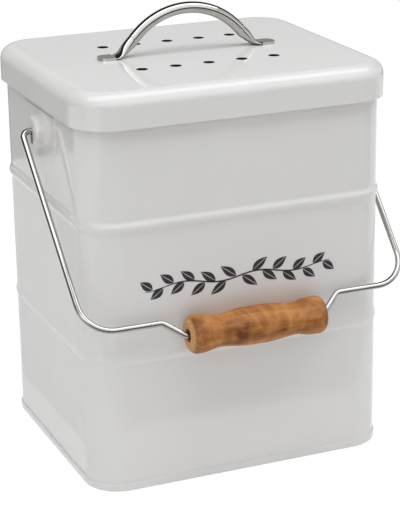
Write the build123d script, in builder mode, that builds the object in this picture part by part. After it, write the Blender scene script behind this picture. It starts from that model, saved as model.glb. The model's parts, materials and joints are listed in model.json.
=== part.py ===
from build123d import *
import os
from math import acos, asin, atan, cos, degrees, hypot, radians, sin, sqrt, tan

# Compost caddy: a rounded-box steel bin, a lift-off lid with vent holes and a filter under them,
# and a wire bail with a turned wooden grip. Millimetres. The origin is the middle of the flat
# base, +Z is up and -Y is the front, where the grip rests against the wall.

# ---- Sheet steel bin ----
sheet = 0.8  # thickness of every pressed sheet
bin_width = 180.0  # outside, along X
bin_depth = 155.4  # outside, along Y
bin_height = 224.0  # base to the top of the rolled rim
bin_corner = 20.3  # outside corner radius, seen from above
rim_roll = 1.42  # outside radius of the rolled rim
curl_gap = 0.3  # rolled edge's end to the wall
upper_bead_height = 154.2
upper_bead_rise = 1.2
lower_bead_height = 78.9
lower_bead_rise = 0.75
bead_reach = 4.4  # from a bead's middle to where it leaves the wall
foot_height = 4.5  # upturned edge of the base pan
foot_bend = 1.6  # outside radius where the pan turns up

# ---- Lid ----
lid_skirt = 20.0  # height of the lid over all
lid_crown = 8.0  # outside radius between skirt and top
lid_slack = 0.45  # rolled rim to the inside of the skirt
lid_stand = 1.0  # how far the lid stands above touching the rim
vent_count = 5  # holes in one row
vent_pitch = 20.0
vent_row_gap = 63.4
vent_radius = 3.2
vent_round = 0.3  # rounding of a vent's upper edge

# ---- Lid handle: a tube with flattened ends ----
tube_radius = 3.3
tube_wall = 0.8
handle_rise = 25.3  # lid top to the tube's centre line at its highest
handle_arch = 42.3  # radius of the arched centre line
handle_slope = 45.0  # degrees, where the arch runs down to the lid
handle_foot_bend = 8.0  # radius of the centre line at the foot
tab_length = 9.0
tab_width = 10.8
tab_corner = 4.6
flat_run = 10.0  # the tube begins to flatten this far before its foot bend
flat_halfway = 0.08  # share of the flattening reached halfway along that run,
flat_at_bend = 0.47  # where the bend begins
flat_in_bend = 0.71  # a third of the way round it
flat_near_tab = 0.93  # and at two thirds

# ---- Fasteners under the handle ----
stud_radius = 2.0
stud_clearance = 0.3
stud_spare = 1.0  # stud end past the nut
stud_chamfer = 0.4
thread_gap = 0.05
washer_radius = 4.5
washer_thickness = 0.8
nut_flats = 7.0
nut_thickness = 3.2

# ---- Filter under the lid ----
filter_margin = 16.0  # pad edge past the outer vents' centres
stud_margin = 1.1  # and past the studs' washers
filter_corner = 8.0
filter_thickness = 8.0
filter_gap = 0.3  # pad to its cover all round, and to the studs above
moulding = 1.6  # wall of the moulded frame and cover
cover_lip = 4.0  # upstand of the cover inside the frame
cover_gap = 0.3
window_margin = 9.0  # frame's windows past the vents' centres
slot_width = 4.5
slot_pitch = 9.0
slot_margin = 7.0  # cover's slots to the pad's edge
middle_web = 9.0  # between the two columns of slots
pull_length = 26.0
pull_height = 4.0

# ---- Bail ears on the side walls ----
ear_drop = 16.3  # lid skirt down to the bail's axis
ear_width = 50.0
ear_gap = 4.0  # lid skirt to the plate's top
ear_bottom = 10.2  # plate below the axis
ear_corner = 1.5
boss_round = 2.2  # outside radius round the boss's face
boss_root = 1.0  # bend where the boss rises from the plate
boss_flange = 0.15  # flat of the boss past that bend

# ---- Bail wire ----
wire_radius = 1.75
pin_clearance = 0.3  # wire in the ear's hole
wall_clearance = 0.35  # hooked wire end to the wall behind it
face_clearance = 0.65  # and to the boss's face
swing_clearance = 1.2  # and to the boss's side as it turns
hook_inside = 0.25  # inside radius of the hook's bend
hook_length = 7.0  # axis to the hooked end's tip
slot_spare = 0.5  # and from there to the end of the slot that it goes in by
leg_top = 9.4  # wall to a leg's centre line at its top
leg_bottom = 8.35  # and at its lower corner, both before the shifts
ear_bend = 3.8
bail_bend = 18.5
joggle_bend = 5.0
joggle_run = 12.6  # grip's end to the joggle's outer corner
joggle_start = 0.9  # grip's end to its inner corner
joggle_drop = 10.3  # bar beside the grip to the grip's centre
grip_drop = 134.49  # axis to the grip's centre
top_shift = -1.3  # the photographed bail stands this far to +X at its legs' tops,
corner_shift = 2.95  # at their lower corners
grip_shift = 2.3  # and at the grip,
bail_skew = 0.8  # and its bar is this much lower at -X than in the middle

# ---- Wooden grip ----
grip_length = 82.0
grip_middle = 10.8  # radii: in the middle,
grip_shoulder = 10.3  # where it begins to fall off,
grip_neck = 9.1  # at its neck
grip_end = 10.7  # and near its end
grip_shoulder_place = 29.0  # all from the grip's end
grip_neck_place = 17.0
grip_end_place = 5.5
grip_round = 4.2
grip_bore_clearance = 0.3
grip_mouth = 3.8  # radius of the recess at each end
grip_mouth_depth = 4.0
grip_rest = 0.3  # grip to the front wall

# ---- Worked out from the sizes above ----
half_width = bin_width / 2
half_depth = bin_depth / 2
curl = rim_roll - sheet / 2  # centre line of the rolled rim
curl_turn = 180 + degrees(acos((sheet / 2 + curl_gap - curl) / rim_roll))
rim_reach = rim_roll * 2 - sheet  # rolled rim past the wall's outside
lid_reach = rim_reach + lid_slack + sheet  # lid past the wall's outside
lid_width = bin_width + 2 * lid_reach
lid_depth = bin_depth + 2 * lid_reach
lid_corner = bin_corner + lid_reach
crown_to_roll = lid_crown - sheet - rim_roll  # centre to centre where lid and rim would touch
touch_rise = sqrt(lid_slack * (2 * crown_to_roll - lid_slack))
lid_top = bin_height - rim_roll - touch_rise + lid_stand + lid_crown
lid_roof = lid_top - sheet
lid_bottom = lid_top - lid_skirt
tab_thickness = 2 * tube_wall
slope = radians(handle_slope)
arch_centre = lid_top + handle_rise - handle_arch
shoulder_x = handle_arch * sin(slope)  # where the arch ends and the straight slope begins
shoulder_z = arch_centre + handle_arch * cos(slope)
tab_middle = lid_top + tab_thickness / 2
ankle_z = tab_middle + handle_foot_bend * (1 - cos(slope))  # where the foot's bend begins
ankle_x = shoulder_x + (shoulder_z - ankle_z) / tan(slope)
foot_x = ankle_x + handle_foot_bend * sin(slope)  # and where it ends in the tab
flat_x = ankle_x - flat_run * cos(slope)  # where the tube begins to flatten
flat_z = ankle_z + flat_run * sin(slope)
stud_place = foot_x + tab_length / 2
stud_hole = stud_radius + stud_clearance
frame_under = lid_roof - moulding
nut_top = frame_under - washer_thickness
nut_under = nut_top - nut_thickness
stud_end = nut_under - stud_spare
pad_top = stud_end - filter_gap
pad_under = pad_top - filter_thickness
vent_reach = (vent_count - 1) * vent_pitch / 2
pad_length = 2 * max(vent_reach + filter_margin, stud_place + washer_radius + stud_margin)
pad_width = vent_row_gap + 2 * filter_margin
lip_inside = 2 * filter_gap
lip_outside = lip_inside + 2 * moulding
frame_inside = lip_outside + 2 * cover_gap
frame_outside = frame_inside + 2 * moulding
axis_height = lid_bottom - ear_drop
pin_hole = wire_radius + pin_clearance
boss_rise = wall_clearance + 2 * wire_radius + face_clearance + sheet
boss_radius = hypot(hook_length, wire_radius) + swing_clearance + sheet
grip_bore = wire_radius + grip_bore_clearance
grip_out = half_depth + grip_rest + max(grip_middle, grip_end)
rest_angle = degrees(asin(grip_out / grip_drop))  # bail at rest, forward of hanging straight down

# The bail lies in this plane: X across the caddy, Y from its axis down to the grip.
bail_plane = Plane(
    origin=(0, 0, axis_height),
    x_dir=(1, 0, 0),
    z_dir=(0, cos(radians(rest_angle)), -sin(radians(rest_angle))),
)


def ring_path(width, depth, corner):
    """Closed rounded rectangle at the base, starting in the middle of its +X side."""
    x = width / 2
    y = depth / 2
    with BuildLine() as path:
        FilletPolyline((x, 0), (x, y), (-x, y), (-x, 0), radius=corner)
        FilletPolyline((-x, 0), (-x, -y), (x, -y), (x, 0), radius=corner)
    return path.line


def bead(start, height, rise):
    """Straight run of wall from start up to a bead, and the bead itself; returns its upper end."""
    turn = 2 * atan(rise / bead_reach)
    radius = bead_reach / (2 * sin(turn))
    run = Line(start, (start[0], height - bead_reach))
    outward = JernArc(run @ 1, run % 1, radius, -degrees(turn))
    crest = JernArc(outward @ 1, outward % 1, radius, degrees(2 * turn))
    inward = JernArc(crest @ 1, crest % 1, radius, -degrees(turn))
    return inward @ 1


def save(piece, name):
    """Label a finished piece and write it."""
    piece.part.label = name
    export_step(piece.part, f"parts/{name}.step")


os.makedirs("parts", exist_ok=True)

# ---- Bin wall: one section carried round the rounded box ----
with BuildPart() as bin_wall:
    with BuildSketch(Plane.XZ):
        with BuildLine():
            skin_x = half_width - sheet / 2
            above_lower = bead((skin_x, sheet), lower_bead_height, lower_bead_rise)
            above_upper = bead((above_lower.X, above_lower.Y), upper_bead_height, upper_bead_rise)
            rise = Line(above_upper, (skin_x, bin_height - rim_roll))
            JernArc(rise @ 1, rise % 1, curl, -curl_turn)
        trace(line_width=sheet)
    sweep(path=ring_path(bin_width - sheet, bin_depth - sheet, bin_corner - sheet / 2))
save(bin_wall, "bin_wall")

# ---- Base pan: flat floor with an upturned edge outside the wall ----
with BuildPart() as base_pan:
    with BuildSketch(Plane.XY):
        RectangleRounded(bin_width + 2 * sheet, bin_depth + 2 * sheet, bin_corner + sheet)
    extrude(amount=foot_height)
    fillet(base_pan.edges().group_by(Axis.Z)[0], foot_bend)
    with BuildSketch(Plane.XY.offset(sheet)):
        RectangleRounded(bin_width, bin_depth, bin_corner)
    extrude(amount=foot_height - sheet, mode=Mode.SUBTRACT)
save(base_pan, "base_pan")


# ---- Bail ears: a plate with a hollow pressed boss, a hole and the slot the hook goes in by ----
def bail_ear(side):
    centre = (side * half_width, 0, axis_height)
    wall_plane = Plane(origin=centre, x_dir=(0, side, 0), z_dir=(side, 0, 0))
    section_plane = Plane(origin=centre, x_dir=(0, 0, 1), z_dir=(0, side, 0))
    ear_top = ear_drop - ear_gap
    boss_side = boss_radius - sheet / 2
    slot_drop = hook_length + slot_spare
    with BuildPart() as ear:
        with BuildSketch(wall_plane):
            with Locations((0, (ear_top - ear_bottom) / 2)):
                RectangleRounded(ear_width, ear_top + ear_bottom, ear_corner)
            Circle(boss_radius, mode=Mode.SUBTRACT)
        extrude(amount=sheet)
        with BuildSketch(section_plane):
            with BuildLine():
                FilletPolyline(
                    (boss_side + boss_root + boss_flange, sheet / 2),
                    (boss_side, sheet / 2),
                    (boss_side, boss_rise - sheet / 2),
                    (0, boss_rise - sheet / 2),
                    radius=[boss_root, boss_round - sheet / 2],
                )
            trace(line_width=sheet)
        revolve(axis=Axis(centre, (side, 0, 0)))
        with BuildSketch(wall_plane.offset(sheet)):
            Circle(pin_hole)
            with Locations((0, -slot_drop / 2)):
                Rectangle(2 * pin_hole, slot_drop)
        extrude(amount=boss_rise, mode=Mode.SUBTRACT)
    return ear


for side, name in ((-1, "bail_ear_left"), (1, "bail_ear_right")):
    save(bail_ear(side), name)

# ---- Bail wire: hooked ends in the ears, legs, a bar on each side and a joggle into the grip ----
hook_x = half_width + wall_clearance + wire_radius


def bail_half(side):
    """Corners of the wire from one hook's tip to the grip."""
    bar = grip_drop - joggle_drop - side * bail_skew
    return [
        (side * hook_x, hook_length),
        (side * hook_x, 0),
        (side * (half_width + leg_top) + top_shift, 0),
        (side * (half_width + leg_bottom) + corner_shift, bar),
        (side * (grip_length / 2 + joggle_run) + grip_shift, bar),
        (side * (grip_length / 2 + joggle_start) + grip_shift, grip_drop),
    ]


bends = [wire_radius + hook_inside, ear_bend, bail_bend, joggle_bend, 2 * wire_radius]
with BuildPart() as bail_wire:
    with BuildLine(bail_plane) as wire_path:
        FilletPolyline(bail_half(-1) + bail_half(1)[::-1], radius=bends + bends[::-1])
    with BuildSketch(Plane(origin=wire_path.line @ 0, z_dir=wire_path.line % 0)):
        Circle(wire_radius)
    sweep(path=wire_path.line)
save(bail_wire, "bail_wire")

# ---- Wooden grip: turned about the wire ----
grip_plane = Plane(
    origin=bail_plane.from_local_coords((grip_shift, grip_drop)),
    x_dir=bail_plane.x_dir,
    z_dir=bail_plane.z_dir,
)
with BuildPart() as wood_grip:
    with BuildSketch(grip_plane):
        with BuildLine():
            end_x = grip_length / 2
            swell_x = end_x - grip_end_place
            neck_x = end_x - grip_neck_place
            shoulder = end_x - grip_shoulder_place
            waist = Spline(
                (-swell_x, grip_end),
                (-neck_x, grip_neck),
                (-shoulder, grip_shoulder),
                (0, grip_middle),
                (shoulder, grip_shoulder),
                (neck_x, grip_neck),
                (swell_x, grip_end),
                tangents=[(1, 0), (1, 0)],
            )
            FilletPolyline(waist @ 1, (end_x, grip_end), (end_x, 0), radius=[grip_round])
            Line((end_x, 0), (-end_x, 0))
            FilletPolyline((-end_x, 0), (-end_x, grip_end), waist @ 0, radius=[grip_round])
        make_face()
    revolve(axis=Axis(grip_plane.origin, grip_plane.x_dir))
    grip_axis = Plane(origin=grip_plane.origin, x_dir=grip_plane.y_dir, z_dir=grip_plane.x_dir)
    with BuildSketch(grip_axis):
        Circle(grip_bore)
    extrude(amount=end_x, both=True, mode=Mode.SUBTRACT)
    for side in (-1, 1):
        with BuildSketch(grip_axis.offset(side * (end_x - grip_mouth_depth))):
            Circle(grip_mouth)
        extrude(amount=side * grip_mouth_depth, mode=Mode.SUBTRACT)
save(wood_grip, "wood_grip")

# ---- Lid shell: drawn sheet with vents and two holes for the handle's studs ----
with BuildPart() as lid_shell:
    with BuildSketch(Plane.XY.offset(lid_bottom)):
        RectangleRounded(lid_width, lid_depth, lid_corner)
    extrude(amount=lid_skirt)
    fillet(lid_shell.edges().group_by(Axis.Z)[-1], lid_crown)
    offset(amount=-sheet, openings=lid_shell.faces().sort_by(Axis.Z)[0])
    with BuildSketch(Plane.XY.offset(lid_top)):
        with GridLocations(vent_pitch, vent_row_gap, vent_count, 2):
            Circle(vent_radius)
    extrude(amount=-sheet, mode=Mode.SUBTRACT)
    fillet(lid_shell.edges().filter_by(GeomType.CIRCLE).group_by(Axis.Z)[-1], vent_round)
    with BuildSketch(Plane.XY.offset(lid_top)):
        with Locations((-stud_place, 0), (stud_place, 0)):
            Circle(stud_hole)
    extrude(amount=-sheet, mode=Mode.SUBTRACT)
save(lid_shell, "lid_shell")


# ---- Lid handle: arched tube that flattens at the foot into a tab on each side ----
def handle_plane(side, back, lean):
    """Plane across the handle, back along the slope from where the foot leans by this angle."""
    centre = (
        side * (foot_x - handle_foot_bend * sin(lean) - back * cos(lean)),
        0,
        tab_middle + handle_foot_bend * (1 - cos(lean)) + back * sin(lean),
    )
    return Plane(origin=centre, x_dir=(0, 1, 0), z_dir=(side * cos(lean), 0, -sin(lean)))


with BuildPart() as lid_handle:
    with BuildLine(Plane.XZ) as arch:
        Line((-flat_x, flat_z), (-shoulder_x, shoulder_z))
        CenterArc((0, arch_centre), handle_arch, 90 + handle_slope, -2 * handle_slope)
        Line((shoulder_x, shoulder_z), (flat_x, flat_z))
    with BuildSketch(Plane(origin=arch.line @ 0, z_dir=arch.line % 0)):
        Circle(tube_radius)
        Circle(tube_radius - tube_wall, mode=Mode.SUBTRACT)
    sweep(path=arch.line)
    for side in (-1, 1):
        for back, lean, flat in (
            (flat_run, slope, 0),
            (flat_run / 2, slope, flat_halfway),
            (0, slope, flat_at_bend),
            (0, slope * 2 / 3, flat_in_bend),
            (0, slope / 3, flat_near_tab),
            (0, 0, 1),
        ):
            with BuildSketch(handle_plane(side, back, lean)):
                Ellipse(
                    tube_radius + flat * (tab_width / 2 - tube_radius),
                    tube_radius + flat * (tab_thickness / 2 - tube_radius),
                )
        loft()
        with BuildSketch(Plane.XY.offset(lid_top)):
            with Locations((side * stud_place, 0)):
                tab = Rectangle(tab_length, tab_width)
            fillet(tab.vertices().group_by(Axis((0, 0, 0), (side, 0, 0)))[-1], tab_corner)
        extrude(amount=tab_thickness)
save(lid_handle, "lid_handle")

# ---- Studs, washers and nuts that hold the handle and the filter frame to the lid ----
for side, hand in ((-1, "left"), (1, "right")):
    place = (side * stud_place, 0)
    with BuildPart() as stud:
        with BuildSketch(Plane.XY.offset(lid_top)):
            with Locations(place):
                Circle(stud_radius)
        extrude(amount=stud_end - lid_top)
        chamfer(stud.edges().group_by(Axis.Z)[0], stud_chamfer)
    save(stud, f"handle_stud_{hand}")

    with BuildPart() as washer:
        with BuildSketch(Plane.XY.offset(frame_under)):
            with Locations(place):
                Circle(washer_radius)
                Circle(stud_hole, mode=Mode.SUBTRACT)
        extrude(amount=-washer_thickness)
    save(washer, f"handle_washer_{hand}")

    with BuildPart() as nut:
        with BuildSketch(Plane.XY.offset(nut_top)):
            with Locations(place):
                RegularPolygon(nut_flats / 2, 6, major_radius=False)
                Circle(stud_radius + thread_gap, mode=Mode.SUBTRACT)
        extrude(amount=-nut_thickness)
    save(nut, f"handle_nut_{hand}")

# ---- Filter frame: moulded box under the lid, open to the vents and downwards ----
with BuildPart() as filter_frame:
    with BuildSketch(Plane.XY.offset(lid_roof)):
        RectangleRounded(
            pad_length + frame_outside, pad_width + frame_outside, filter_corner + frame_outside / 2
        )
    extrude(amount=pad_under - lid_roof)
    with BuildSketch(Plane.XY.offset(frame_under)):
        RectangleRounded(
            pad_length + frame_inside, pad_width + frame_inside, filter_corner + frame_inside / 2
        )
    extrude(amount=pad_under - frame_under, mode=Mode.SUBTRACT)
    with BuildSketch(Plane.XY.offset(lid_roof)):
        with GridLocations(0, vent_row_gap, 1, 2):
            SlotCenterToCenter(2 * vent_reach, 2 * window_margin)
        with Locations((-stud_place, 0), (stud_place, 0)):
            Circle(stud_hole)
    extrude(amount=-moulding, mode=Mode.SUBTRACT)
save(filter_frame, "filter_frame")

# ---- Charcoal filter pad ----
with BuildPart() as charcoal_filter:
    with BuildSketch(Plane.XY.offset(pad_under)):
        RectangleRounded(pad_length, pad_width, filter_corner)
    extrude(amount=filter_thickness)
save(charcoal_filter, "charcoal_filter")

# ---- Filter cover: slotted plate with a lip that pushes into the frame ----
slot_count = int((pad_width - 2 * slot_margin - slot_width) / slot_pitch) + 1
slot_length = (pad_length - 2 * slot_margin - middle_web) / 2
with BuildPart() as filter_cover:
    with BuildSketch(Plane.XY.offset(pad_under)):
        RectangleRounded(
            pad_length + frame_outside, pad_width + frame_outside, filter_corner + frame_outside / 2
        )
    extrude(amount=-moulding)
    with BuildSketch(Plane.XY.offset(pad_under)):
        RectangleRounded(pad_length + lip_outside, pad_width + lip_outside, filter_corner + lip_outside / 2)
        RectangleRounded(
            pad_length + lip_inside,
            pad_width + lip_inside,
            filter_corner + lip_inside / 2,
            mode=Mode.SUBTRACT,
        )
    extrude(amount=cover_lip)
    with BuildSketch(Plane.XY.offset(pad_under)):
        with GridLocations(slot_length + middle_web, slot_pitch, 2, slot_count):
            SlotOverall(slot_length, slot_width)
    extrude(amount=-moulding, mode=Mode.SUBTRACT)
    with BuildSketch(Plane.XY.offset(pad_under - moulding)):
        SlotOverall(pull_length, moulding, rotation=90)
    extrude(amount=-pull_height)
save(filter_cover, "filter_cover")
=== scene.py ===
import json
import math
import bpy
from mathutils import Matrix, Vector, noise


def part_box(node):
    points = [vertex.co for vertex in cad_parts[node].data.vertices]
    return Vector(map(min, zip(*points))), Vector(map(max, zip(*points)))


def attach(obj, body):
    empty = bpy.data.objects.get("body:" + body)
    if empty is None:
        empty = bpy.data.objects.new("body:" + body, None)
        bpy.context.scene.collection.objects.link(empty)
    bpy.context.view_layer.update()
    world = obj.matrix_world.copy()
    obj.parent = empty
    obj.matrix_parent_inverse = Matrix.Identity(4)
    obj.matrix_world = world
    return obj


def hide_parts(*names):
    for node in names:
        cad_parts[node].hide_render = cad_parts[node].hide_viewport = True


# Looks of the compost caddy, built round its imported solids. Metres; +Z up, -Y is the front.

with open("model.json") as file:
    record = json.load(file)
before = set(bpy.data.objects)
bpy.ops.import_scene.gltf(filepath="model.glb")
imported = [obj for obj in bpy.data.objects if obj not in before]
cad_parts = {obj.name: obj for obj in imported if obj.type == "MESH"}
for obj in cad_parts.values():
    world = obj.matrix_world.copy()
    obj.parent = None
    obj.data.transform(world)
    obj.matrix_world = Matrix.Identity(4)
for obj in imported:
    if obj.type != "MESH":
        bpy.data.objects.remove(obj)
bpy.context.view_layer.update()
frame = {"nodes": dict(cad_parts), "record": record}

MM = 0.001

# ---- Camera: fitted to the picture's edges, holes and beads ----
IMAGE_LONG_SIDE = 525
SENSOR = 36.0
CAMERA_AZIMUTH = math.radians(-23.34)
CAMERA_ELEVATION = math.radians(18.55)
CAMERA_ROLL = math.radians(-0.65)
CAMERA_DISTANCE = 1.10804
CAMERA_TARGET = Vector((0.0238, 0.0, 0.10354))
FOCAL_PIXELS = 1847.05
SHIFT_PIXELS = (-27.79, -9.12)


def make_camera():
    back = Vector(
        (
            math.sin(CAMERA_AZIMUTH) * math.cos(CAMERA_ELEVATION),
            -math.cos(CAMERA_AZIMUTH) * math.cos(CAMERA_ELEVATION),
            math.sin(CAMERA_ELEVATION),
        )
    )
    level_right = (-back).cross(Vector((0, 0, 1))).normalized()
    level_up = level_right.cross(-back)
    right = level_right * math.cos(CAMERA_ROLL) + level_up * math.sin(CAMERA_ROLL)
    up = level_up * math.cos(CAMERA_ROLL) - level_right * math.sin(CAMERA_ROLL)
    lens = bpy.data.cameras.new("camera")
    lens.sensor_fit = "AUTO"
    lens.sensor_width = SENSOR
    lens.lens = FOCAL_PIXELS * SENSOR / IMAGE_LONG_SIDE
    lens.shift_x = SHIFT_PIXELS[0] / IMAGE_LONG_SIDE
    lens.shift_y = SHIFT_PIXELS[1] / IMAGE_LONG_SIDE
    lens.clip_start = 0.05
    lens.clip_end = 60.0
    camera = bpy.data.objects.new("camera", lens)
    bpy.context.scene.collection.objects.link(camera)
    turn = Matrix((right, up, back)).transposed().to_4x4()
    camera.matrix_world = Matrix.Translation(CAMERA_TARGET + back * CAMERA_DISTANCE) @ turn
    bpy.context.scene.camera = camera


make_camera()


# ---- Node helpers ----
class Paint:
    """A material and short ways to add nodes to it."""

    def __init__(self, name):
        self.material = bpy.data.materials.new(name)
        self.material.use_nodes = True
        self.tree = self.material.node_tree
        self.shader = self.tree.nodes["Principled BSDF"]

    def add(self, kind, **settings):
        node = self.tree.nodes.new(kind)
        for key, value in settings.items():
            setattr(node, key, value)
        return node

    def link(self, source, target):
        self.tree.links.new(source, target)

    def place(self, scale=(1, 1, 1), centre=(0, 0, 0)):
        """Object coordinates from a centre, stretched."""
        coords = self.add("ShaderNodeTexCoord")
        mapping = self.add("ShaderNodeMapping")
        mapping.inputs["Location"].default_value = [-c * s for c, s in zip(centre, scale)]
        mapping.inputs["Scale"].default_value = scale
        self.link(coords.outputs["Object"], mapping.inputs["Vector"])
        return mapping.outputs["Vector"]

    def noise(self, where, scale, detail=2.0, roughness=0.5, distortion=0.0):
        node = self.add("ShaderNodeTexNoise")
        node.inputs["Scale"].default_value = scale
        node.inputs["Detail"].default_value = detail
        node.inputs["Roughness"].default_value = roughness
        node.inputs["Distortion"].default_value = distortion
        self.link(where, node.inputs["Vector"])
        return node.outputs["Fac"]

    def ramp(self, value, stops):
        """A colour from a list of places and colours."""
        node = self.add("ShaderNodeValToRGB")
        elements = node.color_ramp.elements
        while len(elements) < len(stops):
            elements.new(0.5)
        for element, (place, colour) in zip(elements, stops):
            element.position = place
            element.color = (*colour, 1)
        self.link(value, node.inputs["Fac"])
        return node.outputs["Color"]

    def between(self, value, low, high, start=0.3, end=0.7):
        """A colour from low to high."""
        return self.ramp(value, [(start, low), (end, high)])

    def maths(self, operation, first, second=0.0):
        """A sum on a value and either a number or another value."""
        node = self.add("ShaderNodeMath", operation=operation)
        self.link(first, node.inputs[0])
        if isinstance(second, float):
            node.inputs[1].default_value = second
        else:
            self.link(second, node.inputs[1])
        return node.outputs[0]

    def blend(self, first, second, share):
        """Two values, mixed."""
        node = self.add("ShaderNodeMix", data_type="FLOAT")
        node.inputs["Factor"].default_value = share
        self.link(first, node.inputs["A"])
        self.link(second, node.inputs["B"])
        return node.outputs["Result"]

    def tint(self, share, under, over):
        """A colour laid over another by a share."""
        node = self.add("ShaderNodeMix", data_type="RGBA")
        self.link(share, node.inputs["Factor"])
        self.link(under, node.inputs[6])
        if isinstance(over, tuple):
            node.inputs[7].default_value = (*over, 1)
        else:
            self.link(over, node.inputs[7])
        return node.outputs[2]

    def spread(self, value, low, high, start=0.3, end=0.7):
        """A value from start to end, laid over low to high."""
        node = self.add("ShaderNodeMapRange")
        node.inputs["From Min"].default_value = start
        node.inputs["From Max"].default_value = end
        node.inputs["To Min"].default_value = low
        node.inputs["To Max"].default_value = high
        self.link(value, node.inputs["Value"])
        return node.outputs["Result"]

    def bump(self, height, distance, strength, under=None):
        node = self.add("ShaderNodeBump")
        node.inputs["Distance"].default_value = distance
        node.inputs["Strength"].default_value = strength
        self.link(height, node.inputs["Height"])
        if under is not None:
            self.link(under, node.inputs["Normal"])
        return node.outputs["Normal"]

    def set(self, **values):
        for key, value in values.items():
            self.shader.inputs[key.replace("_", " ")].default_value = value

    def feed(self, socket, value):
        self.link(value, self.shader.inputs[socket])


# ---- Finishes: linear colours, and textures in cycles per metre ----
ENAMEL_TONES = ((0.812, 0.80, 0.786), (0.83, 0.818, 0.804))
ENAMEL_CLOUD = 22
ENAMEL_GLOSS_CLOUD = 60
ENAMEL_ROUGHNESS = (0.07, 0.11)
ENAMEL_PEEL = 420  # fine orange peel
ENAMEL_PEEL_DEPTH = 0.03 * MM
ENAMEL_WAVE = 30  # long waves of the sheet
ENAMEL_WAVE_DEPTH = 0.3 * MM
# Near-black painted shade for the walls of the lid's vent holes
VENT_SHADE = (0.035, 0.034, 0.033)
STEEL_TONES = ((0.40, 0.392, 0.372), (0.45, 0.44, 0.42))
STEEL_CLOUD = 120
STEEL_GLOSS_CLOUD = 700
STEEL_ROUGHNESS = (0.04, 0.09)
STEEL_POLISH = 1400
STEEL_POLISH_DEPTH = 0.01 * MM
WOOD_TONES = ((0.17, 0.047, 0.006), (0.38, 0.140, 0.027), (0.57, 0.245, 0.066))
WOOD_TONE_STOPS = (0.36, 0.48, 0.62)
WOOD_STAIN = (0.15, 0.036, 0.004)
WOOD_END_TONES = ((0.50, 0.245, 0.095), (0.66, 0.36, 0.16))
WOOD_STREAKS = (26, 190, 190)  # along the grain and across it
WOOD_STREAK_DEPTH = 0.2 * MM
WOOD_FIGURE = (95, 55, 55)
WOOD_FIGURE_SHARE = 0.5
WOOD_PATCHES = (60, 75, 75)
WOOD_PATCH_STRENGTH = 0.75
WOOD_STAIN_REACH = (0.55, 0.97)  # shares of the half length between which the stain comes in
WOOD_PORES = (240, 2600, 2600)
WOOD_PORE_STRENGTH = 0.35
WOOD_RINGS = 150
WOOD_HEART = Vector((0, -6.0 * MM, 4.0 * MM))  # middle of the growth rings, off the grip's axis
WOOD_END_DEPTHS = (1.6 * MM, 0.4 * MM)  # from the end face, where end grain begins and is full
WOOD_ROUGHNESS = (0.42, 0.56)
WOOD_SPECULAR = 0.3
PLATED_TONES = ((0.58, 0.59, 0.60), (0.68, 0.69, 0.70))
PLATED_CLOUD = 300
PLATED_GLOSS_CLOUD = 900
PLATED_ROUGHNESS = (0.22, 0.36)
MOULDING_TONES = ((0.50, 0.51, 0.51), (0.54, 0.55, 0.55))
MOULDING_CLOUD = 40
MOULDING_GRAIN = 1500
MOULDING_GRAIN_DEPTH = 0.03 * MM
MOULDING_ROUGHNESS = 0.48
CHARCOAL_TONES = ((0.006, 0.006, 0.007), (0.032, 0.032, 0.034))
CHARCOAL_FIBRE = 900
CHARCOAL_ROUGHNESS = 0.95
PRINT_TONES = ((0.028, 0.028, 0.033), (0.036, 0.036, 0.041))
PRINT_CLOUD = 500
PRINT_ROUGHNESS = 0.42

VENT_PITCH = 20.0 * MM
VENT_HALF_GAP = 31.7 * MM  # lid's middle to a row of vents
VENT_SHADE_RADIUS = 3.45 * MM  # radius inside which the vent holes' walls get painted shade
VENT_SHADE_DEPTH = 0.08 * MM  # lid's top to where the painted shade begins


def enamel(name="enamel", vents_top=None):
    """Glossy white enamel; below vents_top, the height of a lid's top, the walls of its vents get painted
    shade near-black.
    """
    paint = Paint(name)
    where = paint.place()
    colour = paint.between(paint.noise(where, ENAMEL_CLOUD, 2), *ENAMEL_TONES)
    if vents_top is not None:
        # Painted shade: near-black colour on the walls of the vent holes, below the lid's top
        parts = paint.add("ShaderNodeSeparateXYZ")
        paint.link(where, parts.inputs[0])
        along = paint.maths("WRAP", parts.outputs["X"], VENT_PITCH / 2)
        along.node.inputs[2].default_value = -VENT_PITCH / 2
        across = paint.maths("SUBTRACT", paint.maths("ABSOLUTE", parts.outputs["Y"]), VENT_HALF_GAP)
        squares = paint.maths("ADD", paint.maths("POWER", along, 2.0), paint.maths("POWER", across, 2.0))
        inside = paint.maths("LESS_THAN", squares, VENT_SHADE_RADIUS**2)
        below = paint.maths("LESS_THAN", parts.outputs["Z"], vents_top - VENT_SHADE_DEPTH)
        colour = paint.tint(paint.maths("MULTIPLY", inside, below), colour, VENT_SHADE)
    paint.feed("Base Color", colour)
    paint.feed("Roughness", paint.spread(paint.noise(where, ENAMEL_GLOSS_CLOUD, 3), *ENAMEL_ROUGHNESS))
    peel = paint.bump(paint.noise(where, ENAMEL_PEEL, 1), ENAMEL_PEEL_DEPTH, 0.1)
    paint.feed("Normal", paint.bump(paint.noise(where, ENAMEL_WAVE, 1), ENAMEL_WAVE_DEPTH, 0.04, peel))
    paint.set(IOR=1.5, Coat_Weight=0.0)
    return paint.material


def steel():
    """Polished steel."""
    paint = Paint("steel")
    where = paint.place()
    paint.feed("Base Color", paint.between(paint.noise(where, STEEL_CLOUD, 3), *STEEL_TONES))
    paint.feed("Roughness", paint.spread(paint.noise(where, STEEL_GLOSS_CLOUD, 3), *STEEL_ROUGHNESS))
    paint.feed("Normal", paint.bump(paint.noise(where, STEEL_POLISH, 2), STEEL_POLISH_DEPTH, 0.12))
    paint.set(Metallic=1.0)
    return paint.material


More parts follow.
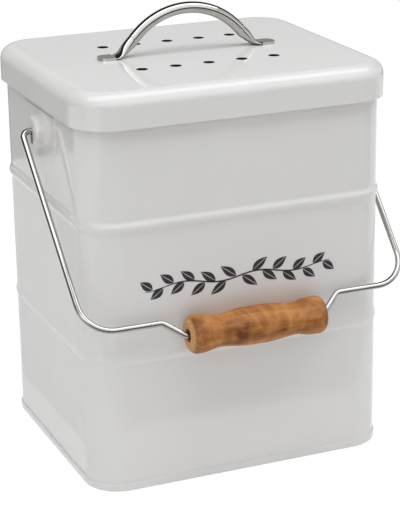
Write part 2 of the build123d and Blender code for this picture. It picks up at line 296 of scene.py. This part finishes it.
def wood(centre, half_length):
    """Turned wood with its grain along X: streaks, soft figure, stain near the ends, pale end grain."""
    paint = Paint("wood")
    streaks = paint.noise(paint.place(WOOD_STREAKS, centre), 1.0, 5, 0.62, 0.6)
    figure = paint.noise(paint.place(WOOD_FIGURE, centre), 1.0, 3, 0.55, 1.2)
    body = paint.ramp(
        paint.blend(streaks, figure, WOOD_FIGURE_SHARE),
        list(zip(WOOD_TONE_STOPS, WOOD_TONES)),
    )
    spot = paint.add("ShaderNodeSeparateXYZ")
    paint.link(paint.place(centre=centre), spot.inputs[0])
    from_middle = paint.maths("ABSOLUTE", spot.outputs["X"])
    near_end = paint.spread(from_middle, 0.0, 1.0, *[half_length * share for share in WOOD_STAIN_REACH])
    patch_noise = paint.noise(paint.place(WOOD_PATCHES, centre), 1.0, 3, 0.6, 0.8)
    patches = paint.spread(patch_noise, 0.0, 1.0, 0.47, 0.66)
    stained = paint.maths("MULTIPLY", paint.maths("MULTIPLY", near_end, patches), WOOD_PATCH_STRENGTH)
    body = paint.tint(stained, body, WOOD_STAIN)
    pore_noise = paint.noise(paint.place(WOOD_PORES, centre), 1.0, 2)
    pores = paint.spread(pore_noise, 0.0, WOOD_PORE_STRENGTH, 0.62, 0.72)
    body = paint.tint(pores, body, WOOD_STAIN)
    rings = paint.add("ShaderNodeTexWave", wave_type="RINGS", rings_direction="X", wave_profile="SAW")
    rings.inputs["Scale"].default_value = WOOD_RINGS
    rings.inputs["Distortion"].default_value = 1.6
    rings.inputs["Detail"].default_value = 2
    paint.link(paint.place(centre=centre + WOOD_HEART), rings.inputs["Vector"])
    end_grain = paint.between(rings.outputs["Fac"], *WOOD_END_TONES, 0.0, 1.0)
    at_end = paint.spread(from_middle, 0.0, 1.0, *[half_length - depth for depth in WOOD_END_DEPTHS])
    paint.feed("Base Color", paint.tint(at_end, body, end_grain))
    paint.feed("Normal", paint.bump(streaks, WOOD_STREAK_DEPTH, 0.12))
    paint.feed("Roughness", paint.spread(figure, *WOOD_ROUGHNESS))
    paint.set(Specular_IOR_Level=WOOD_SPECULAR)
    return paint.material


def plated():
    """Zinc-plated fasteners."""
    paint = Paint("plated")
    where = paint.place()
    paint.feed("Base Color", paint.between(paint.noise(where, PLATED_CLOUD, 2), *PLATED_TONES))
    paint.feed("Roughness", paint.spread(paint.noise(where, PLATED_GLOSS_CLOUD, 2), *PLATED_ROUGHNESS))
    paint.set(Metallic=1.0)
    return paint.material


def moulding():
    """Grey moulded plastic with a fine grain."""
    paint = Paint("moulding")
    where = paint.place()
    paint.feed("Base Color", paint.between(paint.noise(where, MOULDING_CLOUD, 2), *MOULDING_TONES))
    paint.feed("Normal", paint.bump(paint.noise(where, MOULDING_GRAIN, 2), MOULDING_GRAIN_DEPTH, 0.4))
    paint.set(Roughness=MOULDING_ROUGHNESS)
    return paint.material


def charcoal():
    """Matt black felt."""
    paint = Paint("charcoal")
    where = paint.place()
    paint.feed("Base Color", paint.between(paint.noise(where, CHARCOAL_FIBRE, 4), *CHARCOAL_TONES))
    paint.set(Roughness=CHARCOAL_ROUGHNESS)
    return paint.material


def dark_print():
    """Dark grey printing ink."""
    paint = Paint("dark_print")
    where = paint.place()
    paint.feed("Base Color", paint.between(paint.noise(where, PRINT_CLOUD, 2), *PRINT_TONES))
    paint.set(Roughness=PRINT_ROUGHNESS)
    return paint.material


grip_low, grip_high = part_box("wood_grip")
FINISHES = {
    "white_enamel": enamel(),
    "polished_steel": steel(),
    "turned_wood": wood((grip_low + grip_high) / 2, (grip_high.x - grip_low.x) / 2),
    "plated_fasteners": plated(),
    "grey_moulding": moulding(),
    "charcoal_pad": charcoal(),
}
for row in frame["record"]["subparts"]:
    solid = frame["nodes"][row["node"]]
    solid.data.materials.clear()
    solid.data.materials.append(FINISHES[row["material_slot"]])
lid_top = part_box("lid_shell")[1].z
frame["nodes"]["lid_shell"].data.materials[0] = enamel("enamel_lid", lid_top)


# ---- New pieces ----
def make_piece(name, verts, faces, material, body, smooth=False):
    """A closed mesh piece that rides on a body."""
    mesh = bpy.data.meshes.new(name)
    mesh.from_pydata(verts, [], faces)
    mesh.validate()
    mesh.materials.append(material)
    if smooth:
        mesh.polygons.foreach_set("use_smooth", [True] * len(mesh.polygons))
    thing = bpy.data.objects.new(name, mesh)
    bpy.context.scene.collection.objects.link(thing)
    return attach(thing, body)


# ---- Leaf sprig, printed on the front in place of the lettering ----
PRINT_SKIN = 0.06 * MM
PRINT_GAP = 0.02 * MM
SPRIG_MIDDLE = (-3.0 * MM, 118.0 * MM)
SPRIG_HALF = 56.0 * MM
SPRIG_SWAY = 1.6 * MM
SPRIG_WAVES = 1.25  # waves of the stem from the middle to a tip
STEM_WIDTH = 0.9 * MM
STEM_TAPER = 0.7  # share of the stem's width lost at its tips
STEM_STEPS = 80
LEAF_COUNT = 9  # to each side of the middle
LEAF_FIRST = 0.3  # first leaf's place, in shares of the leaves' pitch
LEAF_LENGTH = 11.5 * MM
LEAF_SHRINK = 0.25  # share of the length lost towards the tip
LEAF_WIDTH = 2.5 * MM
LEAF_FULLNESS = 0.8  # below 1 the leaf is widest nearer its stalk
LEAF_VEIN = 0.35 * MM
LEAF_OFFSET = 0.75 * STEM_WIDTH  # stem's middle to where a leaf begins
LEAF_TURN = math.radians(36)
LEAF_STEPS = 14
FRONT_WALL_Y = -77.7 * MM


def stem_point(x):
    return Vector((x, SPRIG_SWAY * math.sin(2 * math.pi * SPRIG_WAVES * x / SPRIG_HALF)))


def half_leaf(start, heading, length, side):
    """Outline of one half of a pointed leaf, beside its vein."""
    along = Vector((math.cos(heading), math.sin(heading)))
    out = Vector((-along.y, along.x)) * side
    steps = [i / LEAF_STEPS for i in range(LEAF_STEPS + 1)]
    inner = [
        start + along * length * t + out * LEAF_VEIN / 2 * math.sqrt(max(math.sin(math.pi * t), 0.0))
        for t in steps
    ]
    outer = [
        start + along * length * t + out * LEAF_WIDTH * math.sin(math.pi * t**LEAF_FULLNESS)
        for t in steps[1:-1]
    ]
    return inner + outer[::-1]


def sprig_outlines():
    """Outlines of the stem and of every half leaf, in the front's plane."""
    upper, lower = [], []
    for i in range(STEM_STEPS + 1):
        share = 2 * i / STEM_STEPS - 1
        middle = stem_point(SPRIG_HALF * share)
        reach = Vector((0, STEM_WIDTH / 2 * (1 - abs(share) ** 3 * STEM_TAPER)))
        upper.append(middle + reach)
        lower.append(middle - reach)
    outlines = [upper + lower[::-1]]
    for way in (-1, 1):
        for i in range(LEAF_COUNT):
            place = (i + LEAF_FIRST) / LEAF_COUNT * SPRIG_HALF
            lift = way * (1 if i % 2 else -1)
            start = stem_point(way * place) + Vector((0, lift * LEAF_OFFSET))
            length = LEAF_LENGTH * (1 - LEAF_SHRINK * i / LEAF_COUNT)
            heading = lift * LEAF_TURN if way > 0 else math.pi - lift * LEAF_TURN
            outlines += [half_leaf(start, heading, length, side) for side in (-1, 1)]
    return outlines


def make_sprig():
    """Every outline as a thin closed solid just off the front wall."""
    verts, faces = [], []
    back = FRONT_WALL_Y - PRINT_GAP
    for outline in sprig_outlines():
        area = sum(p.x * q.y - q.x * p.y for p, q in zip(outline, outline[1:] + outline[:1]))
        ring = outline if area > 0 else outline[::-1]
        base, count = len(verts), len(ring)
        for depth in (back - PRINT_SKIN, back):
            verts += [(SPRIG_MIDDLE[0] + p.x, depth, SPRIG_MIDDLE[1] + p.y) for p in ring]
        faces.append([base + i for i in range(count)])
        faces.append([base + count + i for i in reversed(range(count))])
        for i in range(count):
            j = (i + 1) % count
            faces.append([base + i, base + count + i, base + count + j, base + j])
    return make_piece("front_sprig", verts, faces, dark_print(), "bin")


make_sprig()


# ---- Charcoal pad: felted, with soft edges ----
PAD_EDGE = 2.4 * MM  # radius of the soft edges
PAD_ROUGH = 0.18 * MM
PAD_SQUARENESS = 9.0  # power of the outline's super-ellipse
PAD_POINTS = 144  # round a ring
PAD_EDGE_STEPS = 6
PAD_FLAT_STEPS = 14
PAD_SIDE_NOISE = (40, 40, 900)
PAD_FACE_NOISE = (420, 420, 200)


def scaled_noise(point, scales):
    return noise.noise(Vector([value * scale for value, scale in zip(point, scales)]))


def pad_ring(half, inset, z):
    """A rounded, slightly uneven rectangle at a height, drawn in by inset."""
    points = []
    for i in range(PAD_POINTS):
        angle = 2 * math.pi * i / PAD_POINTS
        x, y = math.cos(angle), math.sin(angle)
        spread = abs(x / (half.x - inset)) ** PAD_SQUARENESS + abs(y / (half.y - inset)) ** PAD_SQUARENESS
        reach = spread ** (-1 / PAD_SQUARENESS) - PAD_ROUGH
        reach += PAD_ROUGH * scaled_noise((x, y, z), PAD_SIDE_NOISE)
        points.append((x * reach, y * reach, z))
    return points


def pad_rings(half):
    """Rings from the middle of the underside, round the soft edges, to the middle of the top."""
    turns = [math.pi / 2 * i / PAD_EDGE_STEPS for i in range(PAD_EDGE_STEPS + 1)]
    edges = [
        pad_ring(half, PAD_EDGE * (1 - math.sin(turn)), PAD_EDGE * (1 - math.cos(turn)) - half.z)
        for turn in turns
    ]
    edges += [
        pad_ring(half, PAD_EDGE * (1 - math.cos(turn)), half.z - PAD_EDGE * (1 - math.sin(turn)))
        for turn in turns[1:]
    ]
    flats = []
    for z in (-half.z, half.z):
        outer = pad_ring(half, PAD_EDGE, z)
        shares = [1 - k / PAD_FLAT_STEPS for k in range(1, PAD_FLAT_STEPS)]
        flats.append([[(x * share, y * share, z) for x, y, _ in outer] for share in shares])
    return flats[0][::-1] + edges + flats[1]


def make_pad():
    """The felted pad, inside the box of the solid that it replaces."""
    low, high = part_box("charcoal_filter")
    centre = (low + high) / 2
    half = (high - low) / 2
    rows = pad_rings(half)
    verts = []
    for row in rows:
        for x, y, z in row:
            sag = 0.0
            if abs(z) > half.z - PAD_EDGE:
                sag = PAD_ROUGH * (1 + scaled_noise((x, y, z), PAD_FACE_NOISE))
            verts.append((centre.x + x, centre.y + y, centre.z + z - math.copysign(sag, z)))
    faces = []
    for r in range(len(rows) - 1):
        below, above = r * PAD_POINTS, (r + 1) * PAD_POINTS
        for i in range(PAD_POINTS):
            j = (i + 1) % PAD_POINTS
            faces.append((below + i, below + j, above + j, above + i))
    bottom, top = len(verts), len(verts) + 1
    verts += [(centre.x, centre.y, low.z + PAD_ROUGH), (centre.x, centre.y, high.z - PAD_ROUGH)]
    last = (len(rows) - 1) * PAD_POINTS
    for i in range(PAD_POINTS):
        j = (i + 1) % PAD_POINTS
        faces.append((bottom, j, i))
        faces.append((top, last + i, last + j))
    pad = make_piece("felt_pad", verts, faces, FINISHES["charcoal_pad"], "filter", smooth=True)
    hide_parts("charcoal_filter")


make_pad()


# ---- Floor, surroundings and light ----
FLOOR_SIZE = 8.0
FLOOR_TONE = 0.9
FLOOR_GLOW = 1.12
FLOOR_SHOWN = 0.8  # share of the floor's look that is plain white, the rest is lit and keeps the shadow
WORLD_LIT = 0.41


def show_or_light(tree, shown, lit):
    """Mixes two shaders: the first for camera, mirror and glass rays, the second for the rest."""
    path = tree.nodes.new("ShaderNodeLightPath")
    first = tree.nodes.new("ShaderNodeMath")
    second = tree.nodes.new("ShaderNodeMath")
    first.operation = second.operation = "MAXIMUM"
    tree.links.new(path.outputs["Is Camera Ray"], first.inputs[0])
    tree.links.new(path.outputs["Is Glossy Ray"], first.inputs[1])
    tree.links.new(first.outputs[0], second.inputs[0])
    tree.links.new(path.outputs["Is Transmission Ray"], second.inputs[1])
    mix = tree.nodes.new("ShaderNodeMixShader")
    tree.links.new(second.outputs[0], mix.inputs["Fac"])
    tree.links.new(lit, mix.inputs[1])
    tree.links.new(shown, mix.inputs[2])
    return mix.outputs[0]


def rectangle(name, corners):
    """An object of one four-cornered face."""
    mesh = bpy.data.meshes.new(name)
    mesh.from_pydata(corners, [], [(0, 1, 2, 3)])
    thing = bpy.data.objects.new(name, mesh)
    bpy.context.scene.collection.objects.link(thing)
    return thing


def make_floor():
    half = FLOOR_SIZE / 2
    floor = rectangle("floor", [(-half, -half, 0), (half, -half, 0), (half, half, 0), (-half, half, 0)])
    paint = Paint("floor")
    paint.set(Base_Color=(FLOOR_TONE, FLOOR_TONE, FLOOR_TONE, 1), Roughness=0.9, Specular_IOR_Level=0.0)
    white = paint.add("ShaderNodeEmission")
    white.inputs["Strength"].default_value = FLOOR_GLOW
    mix = paint.add("ShaderNodeMixShader")
    mix.inputs["Fac"].default_value = FLOOR_SHOWN
    paint.link(paint.shader.outputs[0], mix.inputs[1])
    paint.link(white.outputs[0], mix.inputs[2])
    output = paint.tree.nodes["Material Output"]
    paint.link(show_or_light(paint.tree, mix.outputs[0], paint.shader.outputs[0]), output.inputs["Surface"])
    floor.data.materials.append(paint.material)


def make_world():
    world = bpy.data.worlds.new("world")
    bpy.context.scene.world = world
    world.use_nodes = True
    tree = world.node_tree
    shown = tree.nodes["Background"]
    shown.inputs["Color"].default_value = (1, 1, 1, 1)
    shown.inputs["Strength"].default_value = 1.0
    lit = tree.nodes.new("ShaderNodeBackground")
    lit.inputs["Color"].default_value = (1, 1, 1, 1)
    lit.inputs["Strength"].default_value = WORLD_LIT
    output = tree.nodes["World Output"]
    tree.links.new(show_or_light(tree, shown.outputs[0], lit.outputs[0]), output.inputs["Surface"])


def aimed(place, aim):
    """Turn and place of a thing whose -Z looks from one point at another, with its X level."""
    place = Vector(place)
    turn = (Vector(aim) - place).to_track_quat("-Z", "Y")
    return Matrix.Translation(place) @ turn.to_matrix().to_4x4()


def lamp(name, place, aim, size, radiance, colour=(1, 1, 1)):
    """A rectangular lamp, as bright all over as a surface of that radiance."""
    light = bpy.data.lights.new(name, "AREA")
    light.shape = "RECTANGLE"
    light.size, light.size_y = size
    light.energy = radiance * math.pi * size[0] * size[1]
    light.color = colour
    thing = bpy.data.objects.new(name, light)
    bpy.context.scene.collection.objects.link(thing)
    thing.matrix_world = aimed(place, aim)


def card(name, low, high, glow):
    """A card between two opposite corners that have one coordinate in common; only mirrors see it."""
    (x0, y0, z0), (x1, y1, z1) = low, high
    sideways = x0 == x1
    second = (x1, y1 if sideways else y0, z0)
    last = (x0, y0 if sideways else y1, z1)
    thing = rectangle(name, [low, second, high, last])
    paint = Paint(name)
    look = paint.add("ShaderNodeEmission")
    look.inputs["Strength"].default_value = glow
    paint.link(look.outputs[0], paint.tree.nodes["Material Output"].inputs["Surface"])
    thing.data.materials.append(paint.material)
    thing.visible_camera = False
    thing.visible_diffuse = False
    thing.visible_shadow = False
    thing.visible_transmission = False
    thing.visible_volume_scatter = False


make_floor()
make_world()
OVERHEAD = 2.55
OVERHEAD_COLOUR = (0.965, 0.98, 1.0)
CORNER = 1.0
lamp("overhead", (0, -0.36, 1.5), (0, -0.36, 0), (3.0, 0.85), OVERHEAD, OVERHEAD_COLOUR)
lamp("corner", (-1.5, -1.5, 0.8), (0, 0, 0.12), (0.8, 0.8), CORNER)

WIDE = 4.0  # half widths of the cards across the studio
NARROW = 2.5
BACK = 2.2  # where the upright cards behind and before the object stand
FRONT = -2.6
CEILING = 1.56
OFF_FLOOR = 0.004
# name, two opposite corners, glow: the dark ones give the steel its dark bands, the bright ones its
# highlights, and those on the floor keep the enamel's reflection of the floor down.
CARDS = (
    ("card_above", (-WIDE, 0.08, CEILING), (WIDE, BACK, CEILING), 0.04),
    ("card_back", (-WIDE, BACK, 1.15), (WIDE, BACK, CEILING), 0.04),
    ("card_low_back", (-WIDE, BACK, 0.0), (WIDE, BACK, 1.15), 0.4),
    ("card_floor", (-NARROW, 0.6, OFF_FLOOR), (NARROW, 2.19, OFF_FLOOR), 0.15),
    ("card_near_floor", (-0.6, -0.74, OFF_FLOOR), (1.6, -0.15, OFF_FLOOR), 0.25),
    ("card_left_floor", (-1.1, -0.35, OFF_FLOOR), (-0.104, 0.59, OFF_FLOOR), 0.78),
    ("card_strip", (-NARROW, FRONT, 1.75), (NARROW, FRONT, 2.9), 2.4),
    ("card_left", (-0.9, -0.2, 0.0), (-0.9, 1.2, 0.5), 0.03),
    ("card_front", (-WIDE, FRONT, 0.0), (WIDE, FRONT, 0.62), 0.08),
    ("card_front_floor", (-NARROW, -2.59, OFF_FLOOR), (NARROW, -0.75, OFF_FLOOR), 0.12),
    ("card_bright", (-WIDE, FRONT, 0.64), (WIDE, FRONT, 1.3), 1.6),
)
for name, low_corner, high_corner, glow in CARDS:
    card(name, low_corner, high_corner, glow)

bpy.context.scene.view_settings.view_transform = "Standard"
